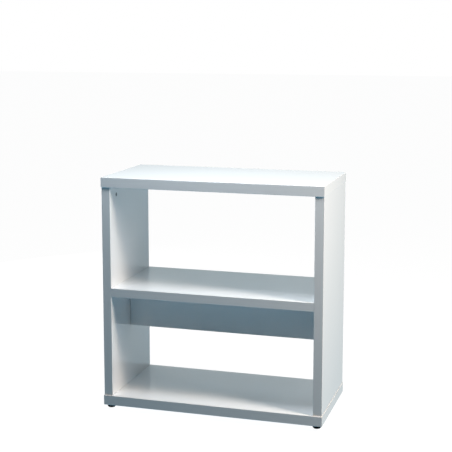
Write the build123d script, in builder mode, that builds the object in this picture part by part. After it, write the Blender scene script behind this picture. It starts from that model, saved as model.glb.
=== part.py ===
from build123d import *
import os

# Open aquarium stand in white-lacquered board: a top and a base board, two side panels between them,
# a fixed middle shelf, a stiffening rail under the shelf and four screw feet. It is knocked down with
# cam fittings, dowels and through screws. Millimetres, +Z up, X to the right, -Y is the front.
# The origin is on the floor, under the middle of the stand.

os.makedirs("parts", exist_ok=True)

# ---- driving dimensions -------------------------------------------------------------------------
width = 820
depth = 400
total_height = 860
foot_height = 12  # floor to the underside of the base board
deck_thickness = 36  # top and base boards
side_thickness = 32
shelf_thickness = 32
rail_thickness = 22
side_overhang = 1.5  # top and base stand proud of the side panels, left and right
front_setback = 4  # side panels and shelf stand back from the top and base, front and rear
shelf_top_z = 453
rail_bottom_z = 268
rail_end_gap = 1.5  # the rail is cut short, so a dark joint shows at each end
band_thickness = 2  # edge banding on every board edge that shows
band_radius = 1.2

fit_gap = 0.05  # fasteners in their drillings, on the radius
cam_radius = 7.5
cam_length = 12.5
cam_reach = 34  # meeting face of two boards to the cam's centre
cam_inset = 62  # front or rear edge of a side panel to its cam
bolt_thread_length = 11
bolt_thread_radius = 3
bolt_shaft_radius = 3.5
bolt_neck_radius = 2
bolt_head_radius = 3
dowel_radius = 4
dowel_length = 30
screw_length = 60
screw_radius = 3.5
screw_head_radius = 5
screw_head_length = 4
screw_cap_radius = 6
screw_cap_thickness = 2

foot_inset = 22  # foot's axis to the front or rear, and to the side, of the base
foot_radius = 15
foot_travel = 10
foot_grips = 20  # finger grooves round the foot
stud_radius = 3.95
stud_head_radius = 6
stud_head_bottom_z = 7
stud_head_thickness = 2.4
insert_radius = 6
insert_length = 14
insert_bore_radius = 4
insert_flange_radius = 8
insert_flange_thickness = 1.2
glide_radius = 12.5
glide_thickness = 2
glide_peg_radius = 3
glide_peg_top_z = 5.2
foot_clearance = 0.3  # screwed right in, the foot stops just under the base board

# ---- derived places -----------------------------------------------------------------------------
base_top_z = foot_height + deck_thickness
top_underside_z = total_height - deck_thickness
side_height = top_underside_z - base_top_z
side_depth = depth - 2 * front_setback
core_depth = side_depth - 2 * band_thickness  # side panels and shelf without their banding
inner_x = width / 2 - side_overhang - side_thickness  # inner face of each side panel
side_mid_x = inner_x + side_thickness / 2
shelf_underside_z = shelf_top_z - shelf_thickness
rail_height = shelf_underside_z - rail_bottom_z
rail_length = 2 * (inner_x - rail_end_gap)
cam_bolt_depth = 8  # bolt's axis behind the face that its cam is let into
rail_rear_y = rail_thickness / 2

both = (-1, 1)
corners = {
    "left_front": (-1, -1),
    "right_front": (1, -1),
    "left_rear": (-1, 1),
    "right_rear": (1, 1),
}
foot_x = width / 2 - foot_inset
foot_y = depth / 2 - foot_inset
thread_grip = 4  # thread left above the sleeve when a foot is wound right out
stud_top_z = foot_height + insert_length + foot_travel + thread_grip
pad_bottom_z = glide_thickness + 0.1
pad_top_z = foot_height - foot_clearance

top_bolt_x = inner_x + cam_bolt_depth
top_bolt_y = side_depth / 2 - cam_inset
top_dowel_ys = (-165, 0, 165)
base_dowel_ys = (-75, 75)
base_screw_ys = (-140, 0, 140)
shelf_bolt_y = 110
shelf_bolt_z = shelf_underside_z + cam_bolt_depth
shelf_dowel_y = 165
rail_bolt_y = rail_rear_y - cam_bolt_depth
rail_bolt_zs = (rail_bottom_z + 35, shelf_underside_z - 35)
rail_top_dowel_xs = (-270, -90, 90, 270)


def facing(origin, normal, across):
    """A plane at origin that looks along normal, with its x axis turned to across."""
    return Plane(origin=origin, x_dir=across, z_dir=normal)


def from_behind(planes):
    """The same spots seen from the other board of the joint."""
    return [facing(plane.origin, -plane.z_dir, plane.x_dir) for plane in planes]


# Bolts start on the meeting face of two boards and look into the board that holds the cam.
# Cams look out of the face that they are let into, with their x axis towards their bolt.
# Dowels sit half in each board, so their planes lie on the meeting face.
top_bolts = [
    facing((s * top_bolt_x, e * top_bolt_y, top_underside_z), (0, 0, -1), (1, 0, 0))
    for s in both
    for e in both
]
top_cams = [
    facing((s * inner_x, e * top_bolt_y, top_underside_z - cam_reach), (-s, 0, 0), (0, 0, 1))
    for s in both
    for e in both
]
top_dowel_spots = [
    facing((s * side_mid_x, y, top_underside_z), (0, 0, -1), (1, 0, 0))
    for s in both
    for y in top_dowel_ys
]
base_dowel_spots = [
    facing((s * side_mid_x, y, base_top_z), (0, 0, 1), (1, 0, 0))
    for s in both
    for y in base_dowel_ys
]
base_screw_spots = [
    facing((s * side_mid_x, y, foot_height), (0, 0, -1), (1, 0, 0))
    for s in both
    for y in base_screw_ys
]
shelf_bolts = [
    facing((s * inner_x, e * shelf_bolt_y, shelf_bolt_z), (-s, 0, 0), (0, 1, 0))
    for s in both
    for e in both
]
shelf_cams = [
    facing((s * (inner_x - cam_reach), e * shelf_bolt_y, shelf_underside_z), (0, 0, -1), (s, 0, 0))
    for s in both
    for e in both
]
shelf_dowel_spots = [
    facing((s * inner_x, e * shelf_dowel_y, shelf_top_z - shelf_thickness / 2), (-s, 0, 0), (0, 1, 0))
    for s in both
    for e in both
]
rail_bolts = [
    facing((s * inner_x, rail_bolt_y, z), (-s, 0, 0), (0, 1, 0))
    for s in both
    for z in rail_bolt_zs
]
rail_cams = [
    facing((s * (inner_x - cam_reach), rail_rear_y, z), (0, 1, 0), (s, 0, 0))
    for s in both
    for z in rail_bolt_zs
]
rail_end_dowel_spots = [
    facing((s * inner_x, 0, rail_bottom_z + rail_height / 2), (-s, 0, 0), (0, 1, 0)) for s in both
]
rail_top_dowel_spots = [
    facing((x, 0, shelf_underside_z), (0, 0, -1), (1, 0, 0)) for x in rail_top_dowel_xs
]
foot_spots = [
    facing((cx * foot_x, cy * foot_y, foot_height), (0, 0, -1), (1, 0, 0)) for cx, cy in corners.values()
]


def on_side(planes, s):
    """Those of the spots that lie left (s = -1) or right (s = 1) of the middle."""
    return [plane for plane in planes if plane.origin.X * s > 0]


def drill(planes, radius, bore_depth):
    """Blind round holes in the board being made, one going in behind each plane."""
    with BuildSketch(*planes) as mouths:
        Circle(radius)
    extrude(mouths.sketch, amount=-bore_depth, mode=Mode.SUBTRACT)


def drill_dowels(planes):
    drill(planes, dowel_radius + fit_gap, dowel_length / 2 + 1)


def drill_bolt_threads(planes):
    drill(planes, bolt_thread_radius + fit_gap, bolt_thread_length + 1)


def drill_bolt_shafts(planes):
    drill(planes, bolt_shaft_radius + fit_gap, cam_reach)


def drill_cams(planes):
    drill(planes, cam_radius + fit_gap, cam_length + fit_gap)


def write(piece, name):
    """Label a finished piece and save it in a file of that name."""
    piece.part.label = name
    export_step(piece.part, f"parts/{name}.step")


# ---- boards -------------------------------------------------------------------------------------
# Top board: carries the tank. Bolts and dowels of the side panels enter it from below.
with BuildPart() as top_panel:
    with Locations((0, 0, total_height - deck_thickness / 2)):
        Box(width - 2 * band_thickness, depth - 2 * band_thickness, deck_thickness)
    drill_bolt_threads(top_bolts)
    drill_dowels(top_dowel_spots)
write(top_panel, "top_panel")

# Base board: the side panels stand on it, screwed from below. The screw heads sink under caps, and a
# threaded sleeve with a flange is let in above each foot.
with BuildPart() as base_panel:
    with Locations((0, 0, base_top_z - deck_thickness / 2)):
        Box(width - 2 * band_thickness, depth - 2 * band_thickness, deck_thickness)
    drill_dowels(base_dowel_spots)
    drill(base_screw_spots, screw_cap_radius + fit_gap, screw_cap_thickness)
    drill(base_screw_spots, screw_head_radius + fit_gap, screw_cap_thickness + screw_head_length)
    drill(base_screw_spots, screw_radius + fit_gap, deck_thickness)
    drill(foot_spots, insert_flange_radius + fit_gap, insert_flange_thickness)
    drill(foot_spots, insert_radius + fit_gap, insert_length)
    drill(foot_spots, insert_bore_radius + 0.5, stud_top_z - foot_height + 2)
write(base_panel, "base_panel")

# Side panels: full height between base and top. Top cams are let into the inner face; the shelf's and
# the rail's bolts screw into it.
for side, s in (("left", -1), ("right", 1)):
    with BuildPart() as side_panel:
        with Locations((s * side_mid_x, 0, base_top_z + side_height / 2)):
            Box(side_thickness, core_depth, side_height)
        drill_bolt_shafts(from_behind(on_side(top_bolts, s)))
        drill_cams(on_side(top_cams, s))
        drill_dowels(from_behind(on_side(top_dowel_spots + base_dowel_spots, s)))
        drill_bolt_threads(on_side(shelf_bolts + rail_bolts, s))
        drill_dowels(on_side(shelf_dowel_spots + rail_end_dowel_spots, s))
        into_side = [plane.offset(-deck_thickness) for plane in on_side(base_screw_spots, s)]
        drill(into_side, screw_radius + fit_gap, screw_length + screw_cap_thickness + 2 - deck_thickness)
    write(side_panel, f"{side}_side_panel")

# Middle shelf: fixed between the side panels, with its cams out of sight underneath.
with BuildPart() as middle_shelf:
    with Locations((0, 0, shelf_top_z - shelf_thickness / 2)):
        Box(2 * inner_x, core_depth, shelf_thickness)
    drill_bolt_shafts(from_behind(shelf_bolts))
    drill_cams(shelf_cams)
    drill_dowels(from_behind(shelf_dowel_spots))
    drill_dowels(rail_top_dowel_spots)
write(middle_shelf, "middle_shelf")

# Stiffening rail: stands on edge under the middle of the shelf and stops the stand from racking
# sideways. Its cams are in the rear face. The bottom edge is banded.
with BuildPart() as stiffener_rail:
    core_height = rail_height - band_thickness
    with Locations((0, 0, shelf_underside_z - core_height / 2)):
        Box(rail_length, rail_thickness, core_height)
    drill_bolt_shafts(from_behind(rail_bolts))
    drill_cams(rail_cams)
    drill_dowels(from_behind(rail_end_dowel_spots + rail_top_dowel_spots))
write(stiffener_rail, "stiffener_rail")

# ---- edge banding: strips glued on the board edges, their long outer edges rounded ----------------
# Top and base boards are banded all round.
for name, top_z in (("top_panel", total_height), ("base_panel", base_top_z)):
    with BuildPart() as deck_bands:
        with Locations((0, 0, top_z - deck_thickness / 2)):
            Box(width, depth, deck_thickness)
            fillet(deck_bands.edges(), band_radius)
            Box(
                width - 2 * band_thickness,
                depth - 2 * band_thickness,
                deck_thickness,
                mode=Mode.SUBTRACT,
            )
    write(deck_bands, f"{name}_edge_bands")

# Side panels are banded front and rear.
for side, s in (("left", -1), ("right", 1)):
    with BuildPart() as side_bands:
        with Locations((s * side_mid_x, 0, base_top_z + side_height / 2)):
            Box(side_thickness, side_depth, side_height)
            fillet(side_bands.edges().filter_by(Axis.Z), band_radius)
            Box(side_thickness, core_depth, side_height, mode=Mode.SUBTRACT)
    write(side_bands, f"{side}_side_panel_edge_bands")

# The shelf is banded front and rear.
with BuildPart() as shelf_bands:
    with Locations((0, 0, shelf_top_z - shelf_thickness / 2)):
        Box(2 * inner_x, side_depth, shelf_thickness)
        fillet(shelf_bands.edges().filter_by(Axis.X), band_radius)
        Box(2 * inner_x, core_depth, shelf_thickness, mode=Mode.SUBTRACT)
write(shelf_bands, "middle_shelf_edge_bands")

# The rail is banded along its lower edge only.
with BuildPart() as rail_band:
    with Locations((0, 0, rail_bottom_z + band_thickness / 2)):
        Box(rail_length, rail_thickness, band_thickness)
    fillet(rail_band.faces().sort_by(Axis.Z)[0].edges().filter_by(Axis.X), band_radius)
write(rail_band, "stiffener_rail_edge_band")

# ---- patterns of the hardware, each made once and set out below -----------------------------------
# Cam: a die-cast drum with a cross recess in its face and a hollow that catches the bolt's head.
with BuildPart() as cam:
    Cylinder(cam_radius, cam_length, align=(Align.CENTER, Align.CENTER, Align.MAX))
    with BuildSketch():
        Rectangle(1.2 * cam_radius, 1.6)
        Rectangle(1.6, 1.2 * cam_radius)
    extrude(amount=-2, mode=Mode.SUBTRACT)
    with BuildSketch(Plane.YZ.offset(-bolt_head_radius)):
        with Locations((0, -cam_bolt_depth)):
            Circle(bolt_head_radius + 0.4)
    extrude(amount=bolt_head_radius + cam_radius, mode=Mode.SUBTRACT)

# Cam bolt: thread below the meeting face, then a smooth shaft, a neck and the head in the cam.
shaft_end = cam_reach - cam_radius
head_start = cam_reach - 0.8 * bolt_head_radius
head_end = cam_reach + 0.8 * bolt_head_radius
with BuildPart() as cam_bolt:
    with BuildSketch(Plane.XZ):
        with BuildLine():
            Polyline(
                (0, -bolt_thread_length),
                (bolt_thread_radius - 1, -bolt_thread_length),
                (bolt_thread_radius, 2 - bolt_thread_length),
                (bolt_thread_radius, 0),
                (bolt_shaft_radius, 0),
                (bolt_shaft_radius, shaft_end),
                (bolt_neck_radius, shaft_end),
                (bolt_neck_radius, head_start),
                (bolt_head_radius, head_start + 1),
                (bolt_head_radius, head_end - 1),
                (bolt_neck_radius, head_end),
                (0, head_end),
                close=True,
            )
        make_face()
    revolve(axis=Axis.Z)

# Dowel: fluted beech pin with bevelled ends.
with BuildPart() as dowel:
    with BuildSketch(Plane.XY.offset(-dowel_length / 2)):
        Circle(dowel_radius)
        with PolarLocations(dowel_radius + 0.1, 12):
            Circle(0.4, mode=Mode.SUBTRACT)
    extrude(amount=dowel_length)
    with BuildSketch(Plane.XZ):
        with Locations((dowel_radius, dowel_length / 2), (dowel_radius, -dowel_length / 2)):
            Rectangle(1, 1, rotation=45)
    revolve(axis=Axis.Z, mode=Mode.SUBTRACT)

# Through screw for the base joint, driven from below with a hexagon key, and its cover cap.
screw_end = -screw_cap_thickness - screw_length
with BuildPart() as base_screw:
    with Locations((0, 0, -screw_cap_thickness)):
        Cylinder(screw_head_radius, screw_head_length, align=(Align.CENTER, Align.CENTER, Align.MAX))
        Cylinder(screw_radius, screw_length, align=(Align.CENTER, Align.CENTER, Align.MAX))
    chamfer(base_screw.edges().sort_by(Axis.Z)[0], 2)
    with BuildSketch(Plane.XY.offset(-screw_cap_thickness)):
        RegularPolygon(radius=2.3, side_count=6)
    extrude(amount=-2.5, mode=Mode.SUBTRACT)
with BuildPart() as base_screw_cap:
    Cylinder(screw_cap_radius, screw_cap_thickness, align=(Align.CENTER, Align.CENTER, Align.MAX))
    fillet(base_screw_cap.edges().sort_by(Axis.Z)[-1], 0.5)

# Threaded sleeve for a foot: a flange flush with the underside and barbs that hold in the board.
with BuildPart() as foot_insert:
    with BuildSketch(Plane.XY):
        Circle(insert_flange_radius)
    extrude(amount=-insert_flange_thickness)
    with BuildSketch(Plane.XY):
        Circle(insert_radius - 0.5)
    extrude(amount=-insert_length)
    for barb in range(4):
        with BuildSketch(Plane.XY.offset(-3 - 3 * barb)):
            Circle(insert_radius)
        extrude(amount=-1)
    Hole(insert_bore_radius)

# Foot: an M8 stud with its head moulded into a grooved plastic pad. A glide disc is pegged into the
# pad from below and stays still on the floor while the pad is turned.
with BuildPart() as stud:
    with BuildSketch(Plane.XY.offset(stud_head_bottom_z)):
        Circle(stud_head_radius)
    extrude(amount=stud_head_thickness)
    with BuildSketch(Plane.XY.offset(stud_head_bottom_z)):
        Circle(stud_radius)
    extrude(amount=stud_top_z - stud_head_bottom_z)
    chamfer(stud.edges().sort_by(Axis.Z)[-1], 1)

with BuildPart() as pad:
    with BuildSketch(Plane.XY.offset(pad_bottom_z)):
        Circle(foot_radius)
    extrude(amount=pad_top_z - pad_bottom_z)
    fillet(pad.edges().sort_by(Axis.Z)[0], 1.8)
    chamfer(pad.edges().sort_by(Axis.Z)[-1], 0.6)
    with BuildSketch(Plane.XY.offset(pad_bottom_z + 2)):
        with PolarLocations(foot_radius + 0.5, foot_grips):
            Circle(1)
    extrude(amount=foot_height, mode=Mode.SUBTRACT)
    with BuildSketch(Plane.XY.offset(pad_bottom_z)):
        Circle(glide_peg_radius + 0.08)
    extrude(amount=glide_peg_top_z + 0.2 - pad_bottom_z, mode=Mode.SUBTRACT)
    add(stud.part, mode=Mode.SUBTRACT)

with BuildPart() as glide:
    Cylinder(glide_radius, glide_thickness, align=(Align.CENTER, Align.CENTER, Align.MIN))
    chamfer(glide.edges().sort_by(Axis.Z)[0], 0.4)
    with BuildSketch(Plane.XY):
        Circle(glide_peg_radius)
    extrude(amount=glide_peg_top_z)

# ---- hardware in place: identical fasteners of one joint share one file ---------------------------
for name, pattern, spots in (
    ("top_cam_locks", cam, top_cams),
    ("shelf_cam_locks", cam, shelf_cams),
    ("rail_cam_locks", cam, rail_cams),
    ("top_cam_bolts", cam_bolt, top_bolts),
    ("shelf_cam_bolts", cam_bolt, shelf_bolts),
    ("rail_cam_bolts", cam_bolt, rail_bolts),
    ("top_dowels", dowel, top_dowel_spots),
    ("base_dowels", dowel, base_dowel_spots),
    ("shelf_dowels", dowel, shelf_dowel_spots),
    ("rail_dowels", dowel, rail_end_dowel_spots + rail_top_dowel_spots),
    ("base_screws", base_screw, base_screw_spots),
    ("base_screw_caps", base_screw_cap, base_screw_spots),
    ("foot_inserts", foot_insert, foot_spots),
):
    with BuildPart() as hardware:
        with Locations(*spots):
            add(pattern.part)
    write(hardware, name)

for corner, (cx, cy) in corners.items():
    for name, pattern in (("foot_pad", pad), ("foot_stud", stud), ("foot_glide", glide)):
        with BuildPart() as foot_piece:
            with Locations((cx * foot_x, cy * foot_y)):
                add(pattern.part)
        write(foot_piece, f"{corner}_{name}")
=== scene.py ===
from math import pi, radians

import bmesh
import bpy
from mathutils import Matrix, Vector


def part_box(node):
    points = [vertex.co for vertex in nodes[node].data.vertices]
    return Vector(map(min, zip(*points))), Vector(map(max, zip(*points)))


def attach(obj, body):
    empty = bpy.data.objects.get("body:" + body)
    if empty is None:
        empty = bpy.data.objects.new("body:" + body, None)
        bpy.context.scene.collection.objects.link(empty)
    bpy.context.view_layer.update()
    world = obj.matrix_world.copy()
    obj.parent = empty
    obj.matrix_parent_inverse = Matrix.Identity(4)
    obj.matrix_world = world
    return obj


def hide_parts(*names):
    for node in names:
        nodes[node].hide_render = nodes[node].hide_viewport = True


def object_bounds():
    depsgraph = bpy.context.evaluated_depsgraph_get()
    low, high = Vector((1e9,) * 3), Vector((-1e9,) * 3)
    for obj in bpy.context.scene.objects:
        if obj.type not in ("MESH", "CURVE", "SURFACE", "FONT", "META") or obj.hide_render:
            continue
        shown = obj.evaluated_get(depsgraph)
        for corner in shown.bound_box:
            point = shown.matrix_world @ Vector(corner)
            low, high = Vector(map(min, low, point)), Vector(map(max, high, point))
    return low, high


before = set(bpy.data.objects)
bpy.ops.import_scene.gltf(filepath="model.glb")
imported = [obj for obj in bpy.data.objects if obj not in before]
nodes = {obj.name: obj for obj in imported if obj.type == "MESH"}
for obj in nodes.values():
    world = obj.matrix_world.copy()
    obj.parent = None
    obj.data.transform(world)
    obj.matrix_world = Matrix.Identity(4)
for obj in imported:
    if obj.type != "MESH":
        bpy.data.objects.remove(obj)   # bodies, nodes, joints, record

# An open aquarium stand of thick white-lacquered boards on four screw feet. The file follows the stand
# as it is put together: the room, the boards, their edge banding, the fittings, the feet.
# Metres, +Z up, the front faces -Y, the origin is on the floor under the middle of the stand.
cad_low, cad_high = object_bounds()
mm = 0.001

# ---- the room ------------------------------------------------------------------------------------
# A white studio with an even white floor and background. The stand is seen from a little right of
# its middle and from above, about 4 m away, through a long lens.
bpy.ops.object.select_all(action="DESELECT")
bpy.ops.object.camera_add(
    location=(1.134, -3.796, 1.385), rotation=(radians(82.06), 0, radians(16.61))
)
camera = bpy.context.object
camera.data.sensor_width = 36
camera.data.lens = 86.9
camera.data.shift_y = -0.097
bpy.context.scene.camera = camera
bpy.context.scene.view_settings.view_transform = "Standard"


class Wire:
    """A shader value that is reckoned with like a number; each operator adds a Math node."""

    def __init__(self, finish, socket):
        self.finish = finish
        self.socket = socket

    def maths(self, operation, left, right=0.0):
        return self.finish.add("ShaderNodeMath", {"operation": operation}, {0: left, 1: right})

    def __add__(self, other):
        return self.maths("ADD", self, other)

    def __radd__(self, other):
        return self.maths("ADD", other, self)

    def __sub__(self, other):
        return self.maths("SUBTRACT", self, other)

    def __rsub__(self, other):
        return self.maths("SUBTRACT", other, self)

    def __mul__(self, other):
        return self.maths("MULTIPLY", self, other)

    def __rmul__(self, other):
        return self.maths("MULTIPLY", other, self)

    def __gt__(self, other):
        return self.maths("GREATER_THAN", self, other)

    def __lt__(self, other):
        return self.maths("LESS_THAN", self, other)

    def __abs__(self):
        return self.maths("ABSOLUTE", self)


class Finish:
    """The node tree of one material, or of the studio's light."""

    def __init__(self, tree):
        self.tree = tree
        self.tree.nodes.clear()

    def add(self, kind, settings, inputs, output=0):
        """Adds a node: first its settings, then values or wires for its inputs. Gives one output."""
        node = self.tree.nodes.new(kind)
        for name, value in settings.items():
            if name == "stops":
                while len(node.color_ramp.elements) < len(value):
                    node.color_ramp.elements.new(1.0)
                for element, (position, brightness) in zip(node.color_ramp.elements, value):
                    element.position = position
                    element.color = (brightness, brightness, brightness, 1)
            else:
                setattr(node, name, value)
        for name, value in inputs.items():
            if isinstance(value, Wire):
                self.tree.links.new(value.socket, node.inputs[name])
            else:
                node.inputs[name].default_value = value
        return Wire(self, node.outputs[output]) if node.outputs else None


def new_finish(name):
    material = bpy.data.materials.new(name)
    material.use_nodes = True
    return material, Finish(material.node_tree)


# The floor and the background both look plain white. The light that a floor throws back up comes from
# the lower half of the studio's light instead. The floor lies low enough for a foot to be wound out.
foot_travel = 10 * mm
floor_gap = 0.5 * mm
bpy.ops.mesh.primitive_plane_add(size=60, location=(0, 0, cad_low.z - foot_travel - floor_gap))
floor = bpy.context.object
floor.name = "floor"
floor.visible_diffuse = False
floor.visible_glossy = False

white_floor, finish = new_finish("white_floor")
glow = finish.add("ShaderNodeEmission", {}, {"Color": (1, 1, 1, 1), "Strength": 0.97})
matt = finish.add("ShaderNodeBsdfDiffuse", {}, {"Color": (0.10, 0.10, 0.10, 1)})
glow_and_matt = finish.add("ShaderNodeAddShader", {}, {0: glow, 1: matt})
finish.add("ShaderNodeOutputMaterial", {}, {"Surface": glow_and_matt})
floor.data.materials.append(white_floor)

# The studio's own light: a colour from each side that fades with the square of the cosine. It is
# tinted: a cool white from behind and a strong blue from below, which cools the fronts.
studio_light = {
    (0, 1, 0): (0.61, 0.70, 0.73),
    (0, 0, -1): (0.46, 1.03, 1.42),
}
bpy.context.scene.world = bpy.data.worlds.new("studio")
bpy.context.scene.world.use_nodes = True
studio = Finish(bpy.context.scene.world.node_tree)
direction = studio.add("ShaderNodeTexCoord", {}, {}, "Generated")
glow = None
for side, colour in studio_light.items():
    towards = studio.add(
        "ShaderNodeVectorMath", {"operation": "DOT_PRODUCT"}, {0: direction, 1: side}, "Value"
    )
    share = studio.add("ShaderNodeMath", {"operation": "MAXIMUM"}, {0: towards, 1: 0.0})
    tint = studio.add(
        "ShaderNodeVectorMath", {"operation": "SCALE"}, {0: colour, "Scale": share * share}
    )
    if glow is None:
        glow = tint
    else:
        glow = studio.add("ShaderNodeVectorMath", {"operation": "ADD"}, {0: glow, 1: tint})
lighting = studio.add("ShaderNodeBackground", {}, {"Color": glow, "Strength": 1.0})
backdrop = studio.add("ShaderNodeBackground", {}, {"Color": (1, 1, 1, 1), "Strength": 1.0})
seen = studio.add("ShaderNodeLightPath", {}, {}, "Is Camera Ray")
shown = studio.add("ShaderNodeMixShader", {}, {0: seen, 1: lighting, 2: backdrop})
studio.add("ShaderNodeOutputWorld", {}, {"Surface": shown})


def softbox(name, place, aim, size, watts, colour):
    """A diffuser lamp at a place, turned towards a point of the stand."""
    bpy.ops.object.light_add(type="AREA", location=place)
    lamp = bpy.context.object
    lamp.name = name
    lamp.rotation_euler = (Vector(aim) - Vector(place)).to_track_quat("-Z", "Y").to_euler()
    lamp.data.shape = "RECTANGLE"
    lamp.data.size, lamp.data.size_y = size
    lamp.data.energy = watts
    lamp.data.color = colour


softbox("over_front", (-0.1, -0.445, 1.76), (-0.1, -0.445, 0), (0.8, 0.3), 12.5, (0.93, 1.0, 1.07))
softbox("over_right", (1.85, -0.60, 1.76), (1.85, -0.60, 0), (0.8, 0.3), 41, (1.0, 0.82, 0.63))
softbox("right", (1.9, -0.55, 1.4), (0, -0.3, 0.5), (0.5, 0.5), 18, (1.0, 0.95, 0.96))
softbox("overhead", (0, 0.1, 2.6), (0, 0.1, 0), (1.0, 0.6), 14, (1, 1, 1))
softbox("left_rear", (-2.2, 1.8, 0.22), (0, 0, 0.3), (1.2, 0.4), 38, (1.0, 0.97, 0.95))
bpy.context.object.visible_glossy = False   # its rectangle would show in the left panel's gloss

# ---- the boards ----------------------------------------------------------------------------------
# Wood-based board under thick high-gloss white lacquer, sprayed and polished. It keeps a faint orange
# peel, a few dust nibs under the gloss and the haze of polishing, drawn out along the board.
lacquer_white = (0.90, 0.905, 0.91, 1)
lacquer_cloud = (0.875, 0.88, 0.883, 1)
peel_depth = 0.012 * mm
nib_size = 0.012


def coordinates(finish, scale=(1, 1, 1)):
    """The piece's own coordinates, stretched by scale along X, Y and Z."""
    place = finish.add("ShaderNodeTexCoord", {}, {}, "Object")
    return finish.add("ShaderNodeMapping", {}, {"Vector": place, "Scale": scale})


def noise(finish, scale, detail=2, stretch=(1, 1, 1)):
    """A random value between 0 and 1 that changes scale times a metre."""
    return finish.add(
        "ShaderNodeTexNoise", {}, {"Vector": coordinates(finish, stretch), "Scale": scale, "Detail": detail}
    )


def mixed(finish, share, first, second):
    """A colour between first and second, by a share that changes over the surface."""
    return finish.add("ShaderNodeMix", {"data_type": "RGBA"}, {0: share, 6: first, 7: second}, 2)


def bump(finish, height, depth, strength=1.0):
    return finish.add(
        "ShaderNodeBump", {}, {"Strength": strength, "Distance": depth, "Height": height}
    )


def surface(finish, **inputs):
    """Ends a material in one Principled shader; an input's name has _ for its spaces."""
    named = {name.replace("_", " "): value for name, value in inputs.items()}
    shader = finish.add("ShaderNodeBsdfPrincipled", {}, named)
    finish.add("ShaderNodeOutputMaterial", {}, {"Surface": shader})


def wear(material, *pieces):
    for piece in pieces:
        piece.data.materials.clear()
        piece.data.materials.append(material)


def lacquer(name, haze_stretch):
    material, finish = new_finish(name)
    cloud = noise(finish, 5, 3)
    haze = noise(finish, 9, 6, haze_stretch)
    peel = noise(finish, 160, 1)
    to_nib = finish.add(
        "ShaderNodeTexVoronoi", {}, {"Vector": coordinates(finish), "Scale": 18}, "Distance"
    )
    surface(
        finish,
        Base_Color=mixed(finish, cloud, lacquer_white, lacquer_cloud),
        Roughness=0.05 + 0.11 * haze,
        IOR=1.5,
        Coat_Weight=0.35,
        Coat_Roughness=0.03,
        Normal=bump(finish, peel + 3.0 * (to_nib < nib_size), peel_depth),
    )
    return material


level_lacquer = lacquer("gloss_lacquer_level", (0.3, 1, 1))
upright_lacquer = lacquer("gloss_lacquer_upright", (1, 1, 0.3))
wear(
    level_lacquer,
    nodes["top_panel"],
    nodes["base_panel"],
    nodes["middle_shelf"],
    nodes["stiffener_rail"],
)
wear(upright_lacquer, nodes["left_side_panel"], nodes["right_side_panel"])

# ---- edge banding --------------------------------------------------------------------------------
# Strips of white gloss plastic, 2 mm thick, glued on every board edge that shows and rounded with a
# hand scraper. They are a trace warmer than the lacquer, with draw lines along them, and a hair of
# glue shows where a strip meets its board.
band_white = (0.893, 0.898, 0.90, 1)
band_line = (0.86, 0.865, 0.868, 1)
glue = (0.50, 0.50, 0.48, 1)
glue_width = 0.14 * mm
scrape_depth = 0.012 * mm
across_strip = {"z": (2, 2, 450), "x": (450, 2, 2)}


def banding(node, lines_across, joint):
    """Banding of one board: its lines lie across x or z; joint gives the distance past the glue."""
    material, finish = new_finish(node.name + "_finish")
    place = finish.add("ShaderNodeTexCoord", {}, {}, "Object")
    x, y, z = (finish.add("ShaderNodeSeparateXYZ", {}, {0: place}, axis) for axis in range(3))
    past_joint = joint(finish, abs(x), abs(y), z)
    glue_line = (past_joint < glue_width) * 0.8
    lines = noise(finish, 1, 4, across_strip[lines_across])
    scraped = noise(finish, 60, 2)
    plain = mixed(finish, lines, band_white, band_line)
    surface(
        finish,
        Base_Color=mixed(finish, glue_line, plain, glue),
        Roughness=0.07 + 0.10 * lines + 0.05 * scraped + 0.3 * glue_line,
        IOR=1.5,
        Coat_Weight=0.25,
        Coat_Roughness=0.06,
        Normal=bump(finish, lines + 0.4 * scraped, scrape_depth),
    )
    wear(material, node)


for deck in ("top_panel", "base_panel"):
    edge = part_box(deck)[1]

    def past_deck_joint(finish, x, y, z, edge=edge):
        return finish.add("ShaderNodeMath", {"operation": "MAXIMUM"}, {0: x - edge.x, 1: y - edge.y})

    banding(nodes[deck + "_edge_bands"], "z", past_deck_joint)

for board, lines_across in (
    ("left_side_panel", "x"),
    ("right_side_panel", "x"),
    ("middle_shelf", "z"),
):
    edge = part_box(board)[1]

    def past_front_joint(finish, x, y, z, edge=edge):
        return y - edge.y

    banding(nodes[board + "_edge_bands"], lines_across, past_front_joint)

rail_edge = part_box("stiffener_rail")[0]
banding(nodes["stiffener_rail_edge_band"], "z", lambda finish, x, y, z: rail_edge.z - z)

# ---- cams ----------------------------------------------------------------------------------------
# Die-cast zinc drums, 15 mm across, let into the board and turned with a screwdriver to grip a bolt's
# head. The face has a broken rim, a tapered cross recess and an arrow that points to the bolt.
cam_radius = 7.5 * mm
cam_length = 12.5 * mm
cam_rim = 0.5 * mm
bolt_depth = 8 * mm
bolt_hollow = 3.4 * mm
recess_blade = (9.6 * mm, 1.7 * mm, 2.8 * mm)
recess_taper = 0.62
weld = 0.002 * mm


def drawn(name, outline):
    """An outline, given as radius and height, drawn point by point as one line of edges."""
    bpy.ops.object.select_all(action="DESELECT")
    bpy.ops.mesh.primitive_plane_add(size=1 * mm)
    piece = bpy.context.object
    piece.name = name
    bpy.ops.object.mode_set(mode="EDIT")
    bpy.ops.mesh.select_mode(type="VERT")
    bpy.ops.mesh.select_all(action="SELECT")
    bpy.ops.mesh.merge(type="CENTER")
    here = Vector((outline[0][0], 0, outline[0][1]))
    bpy.ops.transform.translate(value=here)
    for radius, height in outline[1:]:
        there = Vector((radius, 0, height))
        bpy.ops.mesh.extrude_vertices_move(TRANSFORM_OT_translate={"value": there - here})
        here = there
    bpy.ops.object.mode_set(mode="OBJECT")
    return piece


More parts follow.
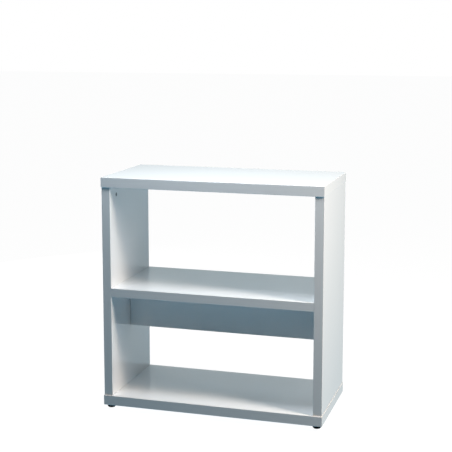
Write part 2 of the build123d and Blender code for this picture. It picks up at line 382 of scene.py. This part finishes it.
def turned(name, outline, steps=64):
    """A round piece: its outline is spun about +Z and closed."""
    piece = drawn(name, outline)
    bpy.ops.object.mode_set(mode="EDIT")
    bpy.ops.mesh.select_all(action="SELECT")
    bpy.ops.mesh.spin(steps=steps, angle=2 * pi, center=(0, 0, 0), axis=(0, 0, 1))
    bpy.ops.mesh.select_all(action="SELECT")
    bpy.ops.mesh.remove_doubles(threshold=weld)
    bpy.ops.mesh.normals_make_consistent(inside=False)
    bpy.ops.object.mode_set(mode="OBJECT")
    return piece


def pick(piece):
    """Makes a piece the only one that the next operator acts on."""
    bpy.ops.object.select_all(action="DESELECT")
    piece.select_set(True)
    bpy.context.view_layer.objects.active = piece


def apply_place(piece):
    pick(piece)
    bpy.ops.object.transform_apply(location=True, rotation=True, scale=True)


def apply_modifier(piece, kind, **settings):
    pick(piece)
    modifier = piece.modifiers.new(kind.lower(), kind)
    for name, value in settings.items():
        setattr(modifier, name, value)
    bpy.ops.object.modifier_apply(modifier=modifier.name)


def cut_away(piece, cutter):
    """Takes the cutter's shape out of the piece, then throws the cutter away."""
    apply_modifier(piece, "BOOLEAN", operation="DIFFERENCE", solver="EXACT", object=cutter)
    bpy.data.objects.remove(cutter)


def smooth(piece, angle=35):
    pick(piece)
    bpy.ops.object.shade_smooth_by_angle(angle=radians(angle))


def copied(piece, name, place):
    """A copy with its own mesh, whose place goes into the mesh."""
    copy = piece.copy()
    copy.data = piece.data.copy()
    copy.data.transform(place)
    copy.name = name
    bpy.context.collection.objects.link(copy)
    return copy


cam = turned(
    "cam_pattern",
    [
        (0, 0),
        (cam_radius - 1.6 * mm, 0),
        (cam_radius - 1.4 * mm, -0.15 * mm),
        (cam_radius - 1.1 * mm, 0),
        (cam_radius - cam_rim, 0),
        (cam_radius - 0.15 * mm, -0.15 * mm),
        (cam_radius, -cam_rim),
        (cam_radius, -cam_length + cam_rim),
        (cam_radius - cam_rim, -cam_length),
        (0, -cam_length),
    ],
    72,
)
for turn in (0, 90):
    bpy.ops.mesh.primitive_cube_add(size=1, location=(0, 0, -1.1 * mm))
    blade = bpy.context.object
    blade.scale = recess_blade
    blade.rotation_euler = (0, 0, radians(turn))
    apply_place(blade)
    bpy.ops.object.mode_set(mode="EDIT")
    bpy.ops.mesh.select_mode(type="FACE")
    bpy.ops.mesh.select_all(action="DESELECT")
    blade_mesh = bmesh.from_edit_mesh(blade.data)
    for face in blade_mesh.faces:
        face.select_set(face.normal.z < -0.9)
    bmesh.update_edit_mesh(blade.data)
    bpy.ops.transform.resize(value=(recess_taper, recess_taper, 1))
    bpy.ops.object.mode_set(mode="OBJECT")
    cut_away(cam, blade)
bpy.ops.mesh.primitive_cone_add(
    vertices=24, radius1=0.9 * mm, radius2=2.1 * mm, depth=3.4 * mm, location=(0, 0, -1.3 * mm)
)
cut_away(cam, bpy.context.object)
bpy.ops.mesh.primitive_cylinder_add(
    vertices=3, radius=0.8 * mm, depth=0.8 * mm, location=(5.55 * mm, 0, 0),
    rotation=(0, 0, radians(-90)),
)
cut_away(cam, bpy.context.object)
bpy.ops.mesh.primitive_cylinder_add(
    vertices=40, radius=bolt_hollow, depth=cam_radius + 4 * mm,
    location=(cam_radius / 2 - 1 * mm, 0, -bolt_depth), rotation=(0, radians(90), 0),
)
cut_away(cam, bpy.context.object)
smooth(cam)

# The zinc is coloured dark grey, far darker than bare zinc: painted shade, for the dark look the cams have
# in the shade inside the stand.
cast_zinc, finish = new_finish("cast_zinc")
grain = noise(finish, 2600, 3)
tarnish = noise(finish, 420, 2)
surface(
    finish,
    Base_Color=mixed(finish, tarnish, (0.20, 0.205, 0.215, 1), (0.36, 0.365, 0.37, 1)),
    Metallic=1.0,
    Roughness=0.36 + 0.22 * grain,
    Normal=bump(finish, grain, 0.05 * mm),
)
wear(cast_zinc, cam)


def looking(origin, out, across):
    """Where a fitting made at the origin goes: its +Z turned to out and its +X to across."""
    out, across = Vector(out), Vector(across)
    turn = Matrix((across, out.cross(across), out)).transposed().to_4x4()
    return Matrix.Translation(origin) @ turn


both = (-1, 1)
inner_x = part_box("right_side_panel")[0].x
low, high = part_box("top_cam_locks")
top_cam_places = [
    looking((s * inner_x, e * (high.y - cam_radius), (low.z + high.z) / 2), (-s, 0, 0), (0, 0, 1))
    for s in both
    for e in both
]
low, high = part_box("shelf_cam_locks")
shelf_cam_places = [
    looking((s * (high.x - cam_radius), e * (high.y - cam_radius), low.z), (0, 0, -1), (s, 0, 0))
    for s in both
    for e in both
]
low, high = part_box("rail_cam_locks")
rail_cam_places = [
    looking((s * (high.x - cam_radius), high.y, z), (0, 1, 0), (s, 0, 0))
    for s in both
    for z in (low.z + cam_radius, high.z - cam_radius)
]
for joint, places in (
    ("top", top_cam_places),
    ("shelf", shelf_cam_places),
    ("rail", rail_cam_places),
):
    for number, place in enumerate(places, 1):
        cam_lock = copied(cam, f"{joint}_cam_lock_{number}", place)
        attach(cam_lock, "carcass")
        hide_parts(f"{joint}_cam_locks")
bpy.data.objects.remove(cam)

# ---- bolts and screws ----------------------------------------------------------------------------
# Cam bolts and long hexagon-key screws of turned steel with bright zinc plating. Inside the boards
# they are out of sight, but their plating and turning marks are made all the same.
zinc_plating, finish = new_finish("zinc_plating")
turning = noise(finish, 1, 3, (900, 900, 900))
bloom = noise(finish, 240, 3)
surface(
    finish,
    Base_Color=mixed(finish, bloom, (0.60, 0.61, 0.63, 1), (0.74, 0.74, 0.73, 1)),
    Metallic=1.0,
    Roughness=0.22 + 0.16 * bloom + 0.08 * turning,
    Normal=bump(finish, turning, 0.015 * mm),
)
wear(
    zinc_plating,
    nodes["top_cam_bolts"],
    nodes["shelf_cam_bolts"],
    nodes["rail_cam_bolts"],
    nodes["base_screws"],
)

# ---- dowels --------------------------------------------------------------------------------------
# Bare beech pins, 8 mm thick, fluted so that glue and air can pass. The grain runs along them: they
# stand upright in the top, base and rail joints and lie across in the shelf's.
def beech(name, stretch):
    material, finish = new_finish(name)
    grain = noise(finish, 700, 4, stretch)
    flecks = noise(finish, 1800, 1, stretch) > 0.66
    wood = mixed(finish, grain, (0.62, 0.44, 0.28, 1), (0.78, 0.62, 0.43, 1))
    surface(
        finish,
        Base_Color=mixed(finish, flecks * 0.5, wood, (0.42, 0.27, 0.16, 1)),
        Roughness=0.58 + 0.2 * grain,
        Normal=bump(finish, grain, 0.08 * mm),
    )
    return material


wear(
    beech("upright_beech", (1, 1, 0.06)),
    nodes["top_dowels"],
    nodes["base_dowels"],
    nodes["rail_dowels"],
)
wear(beech("level_beech", (0.06, 1, 1)), nodes["shelf_dowels"])

# ---- screw caps ----------------------------------------------------------------------------------
# Small round covers of white plastic, pressed over the screw heads in the underside of the base. They
# keep the fine spark texture of their mould.
white_plastic, finish = new_finish("white_plastic")
spark = noise(finish, 1500, 3)
handled = noise(finish, 90, 3)
surface(
    finish,
    Base_Color=mixed(finish, handled, (0.86, 0.86, 0.85, 1), (0.80, 0.80, 0.785, 1)),
    Roughness=0.34 + 0.14 * spark,
    Normal=bump(finish, spark, 0.03 * mm),
)
wear(white_plastic, nodes["base_screw_caps"])

# ---- threaded sleeves ----------------------------------------------------------------------------
# Brass sleeves with barbs, knocked into the base board to carry the feet. Each flange is faced on a
# lathe, so fine rings run round its own hole; the brass has dulled a little.
brass, finish = new_finish("turned_brass")
place = finish.add("ShaderNodeTexCoord", {}, {}, "Object")
x, y = (finish.add("ShaderNodeSeparateXYZ", {}, {0: place}, axis) for axis in range(2))
flange_low, flange_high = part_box("foot_inserts")
flange_radius = 8 * mm
from_axis_x = abs(x) - (flange_high.x - flange_radius)
from_axis_y = abs(y) - (flange_high.y - flange_radius)
from_axis = finish.add(
    "ShaderNodeMath",
    {"operation": "SQRT"},
    {0: from_axis_x * from_axis_x + from_axis_y * from_axis_y},
)
rings = finish.add("ShaderNodeMath", {"operation": "SINE"}, {0: from_axis * (2 * pi / (0.25 * mm))})
dulled = noise(finish, 300, 3)
surface(
    finish,
    Base_Color=mixed(finish, dulled, (0.80, 0.60, 0.27, 1), (0.55, 0.40, 0.19, 1)),
    Metallic=1.0,
    Roughness=0.20 + 0.22 * dulled,
    Normal=bump(finish, rings * 0.5, 0.01 * mm),
)
wear(brass, nodes["foot_inserts"])

# ---- foot pads -----------------------------------------------------------------------------------
# Round black polyamide pads, turned by hand to level the stand. The rim has 20 finger grooves with
# soft moulded edges; the top rises to a collar round the stud, whose head is moulded in.
pad_low, pad_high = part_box("left_front_foot_pad")
pad_radius = (pad_high.x - pad_low.x) / 2
pad_bottom, pad_top = pad_low.z, pad_high.z
peg_hole_radius = 3.08 * mm
peg_hole_top = 5.4 * mm
stud_low, stud_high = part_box("left_front_foot_stud")
stud_head_radius = 6 * mm
stud_head_thickness = 2.4 * mm
stud_radius = 3.95 * mm
shank_start = stud_low.z + stud_head_thickness
collar_radius = 7.6 * mm
groove_count = 20
groove_radius = 1.25 * mm
groove_outset = 0.45 * mm

pad = turned(
    "pad_pattern",
    [
        (0, peg_hole_top),
        (peg_hole_radius, peg_hole_top),
        (peg_hole_radius, pad_bottom),
        (pad_radius - 1.8 * mm, pad_bottom),
        (pad_radius - 0.9 * mm, pad_bottom + 0.25 * mm),
        (pad_radius - 0.25 * mm, pad_bottom + 0.9 * mm),
        (pad_radius, pad_bottom + 1.8 * mm),
        (pad_radius, pad_top - 1.7 * mm),
        (pad_radius - 0.3 * mm, pad_top - 1.15 * mm),
        (pad_radius - 1.0 * mm, pad_top - 0.9 * mm),
        (collar_radius + 0.6 * mm, pad_top - 0.75 * mm),
        (collar_radius + 0.15 * mm, pad_top - 0.6 * mm),
        (collar_radius - 0.1 * mm, pad_top - 0.15 * mm),
        (collar_radius - 0.5 * mm, pad_top),
        (stud_radius + 0.1 * mm, pad_top),
        (stud_radius + 0.05 * mm, shank_start),
        (stud_head_radius, shank_start),
        (stud_head_radius, stud_low.z),
        (0, stud_low.z),
    ],
    100,
)
for groove in range(groove_count):
    angle = 2 * pi * groove / groove_count
    bpy.ops.mesh.primitive_cylinder_add(
        vertices=20,
        radius=groove_radius,
        depth=pad_top,
        location=Matrix.Rotation(angle, 3, "Z") @ Vector((pad_radius + groove_outset, 0, 0)),
    )
    cutter = bpy.context.object
    cutter.location.z = pad_bottom + 2 * mm + pad_top / 2
    apply_place(cutter)
    cut_away(pad, cutter)
apply_modifier(
    pad, "BEVEL", width=0.22 * mm, segments=2, limit_method="ANGLE", angle_limit=radians(38)
)
smooth(pad)

# The pads are coloured almost pure black, darker than the black plastic itself: painted shade, standing in
# for the shade of the floor under the stand, which the studio's light from below does not give.
black_plastic, finish = new_finish("black_plastic")
leather_grain = noise(finish, 1300, 3)
scuffed = finish.add(
    "ShaderNodeValToRGB", {"stops": ((0.55, 0.0), (0.75, 1.0))}, {0: noise(finish, 260, 5, (1, 1, 3))}
)
surface(
    finish,
    Base_Color=mixed(finish, scuffed, (0.004, 0.004, 0.0045, 1), (0.018, 0.018, 0.019, 1)),
    Roughness=0.50 + 0.16 * leather_grain + 0.12 * scuffed,
    Specular_IOR_Level=0.12,
    Normal=bump(finish, leather_grain, 0.06 * mm),
)
wear(black_plastic, pad)

# ---- foot studs ----------------------------------------------------------------------------------
# M8 studs of zinc-plated steel with a rolled thread, 1.25 mm to a turn, so a foot goes down 1.25 mm
# each time it is turned round. The flat head at the lower end is moulded into the pad.
thread_pitch = 1.25 * mm
thread_root = 3.22 * mm
# The thread starts past the head, at a height where neither cut runs through one of its corners.
thread_start = shank_start - 1.537 * thread_pitch
cut_tolerance = 0.0005 * mm
thread_outline = [
    (thread_root, thread_start),
    (thread_root, thread_start + 0.16 * mm),
    (stud_radius - 0.05 * mm, thread_start + 0.56 * mm),
    (stud_radius, thread_start + 0.62 * mm),
    (stud_radius, thread_start + 0.72 * mm),
    (stud_radius - 0.05 * mm, thread_start + 0.78 * mm),
    (thread_root, thread_start + thread_pitch),
]
thread_turns = int((stud_high.z - thread_start) / thread_pitch) + 2

stud = drawn("stud_pattern", thread_outline)
apply_modifier(
    stud,
    "SCREW",
    angle=2 * pi,
    screw_offset=thread_pitch,
    iterations=thread_turns,
    steps=32,
    render_steps=32,
    use_merge_vertices=True,
    merge_threshold=weld,
)
bpy.ops.object.mode_set(mode="EDIT")
bpy.ops.mesh.select_all(action="SELECT")
bpy.ops.mesh.remove_doubles(threshold=weld)
for height, upward in ((shank_start, -1), (stud_high.z, 1)):
    bpy.ops.mesh.select_all(action="SELECT")
    bpy.ops.mesh.bisect(
        plane_co=(0, 0, height),
        plane_no=(0, 0, upward),
        use_fill=True,
        clear_outer=True,
        threshold=cut_tolerance,
    )
bpy.ops.mesh.select_all(action="SELECT")
bpy.ops.mesh.normals_make_consistent(inside=False)
bpy.ops.object.mode_set(mode="OBJECT")

stud_head = turned(
    "stud_head",
    [
        (0, stud_low.z),
        (stud_head_radius - 0.4 * mm, stud_low.z),
        (stud_head_radius - 0.05 * mm, stud_low.z + 0.35 * mm),
        (stud_head_radius - 0.05 * mm, shank_start - 0.35 * mm),
        (stud_head_radius - 0.4 * mm, shank_start - 0.02 * mm),
        (0, shank_start - 0.02 * mm),
    ],
    48,
)
pick(stud)
stud_head.select_set(True)
bpy.ops.object.join()
smooth(stud, 28)
wear(zinc_plating, stud)

# ---- the four feet in place ----------------------------------------------------------------------
# One foot is screwed into the sleeve at each corner of the base. Every pad and stud is a copy of the
# patterns above and turns with its foot.
corners = ("left_front", "right_front", "left_rear", "right_rear")
for corner in corners:
    low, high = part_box(corner + "_foot_pad")
    foot_axis = Matrix.Translation(((low.x + high.x) / 2, (low.y + high.y) / 2, 0))
    for pattern, part, slot in ((pad, "pad", "black_pad"), (stud, "stud", "zinc_plated_steel")):
        piece = copied(pattern, f"{corner}_screw_foot_{part}", foot_axis)
        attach(piece, corner + "_foot")
        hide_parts(f"{corner}_foot_{part}")
bpy.data.objects.remove(pad)
bpy.data.objects.remove(stud)

# ---- glides --------------------------------------------------------------------------------------
# Slip-grade plastic discs, pegged into the pads from below, coloured very dark grey: grey plastic with
# painted shade, standing in for the shade of the floor under the stand. They lie still on the floor while
# the pad turns, so their undersides carry rubbed patches and crossing scratches.
glide_plastic, finish = new_finish("glide_plastic")
rubbed = noise(finish, 350, 4)
scratch_one = noise(finish, 900, 1, (0.05, 1, 1)) > 0.70
scratch_two = noise(finish, 900, 1, (1, 0.05, 1)) > 0.72
scratches = scratch_one + scratch_two
surface(
    finish,
    # Both tones are far darker than grey plastic: painted shade for the shaded underside of the stand; the
    # lighter rubbed patches are wear.
    Base_Color=mixed(finish, rubbed * 0.8, (0.020, 0.020, 0.021, 1), (0.050, 0.050, 0.051, 1)),
    Roughness=0.42 + 0.2 * rubbed + 0.12 * scratches,
    Specular_IOR_Level=0.2,
    Normal=bump(finish, rubbed - 0.4 * scratches, 0.03 * mm),
)
wear(glide_plastic, *(nodes[corner + "_foot_glide"] for corner in corners))
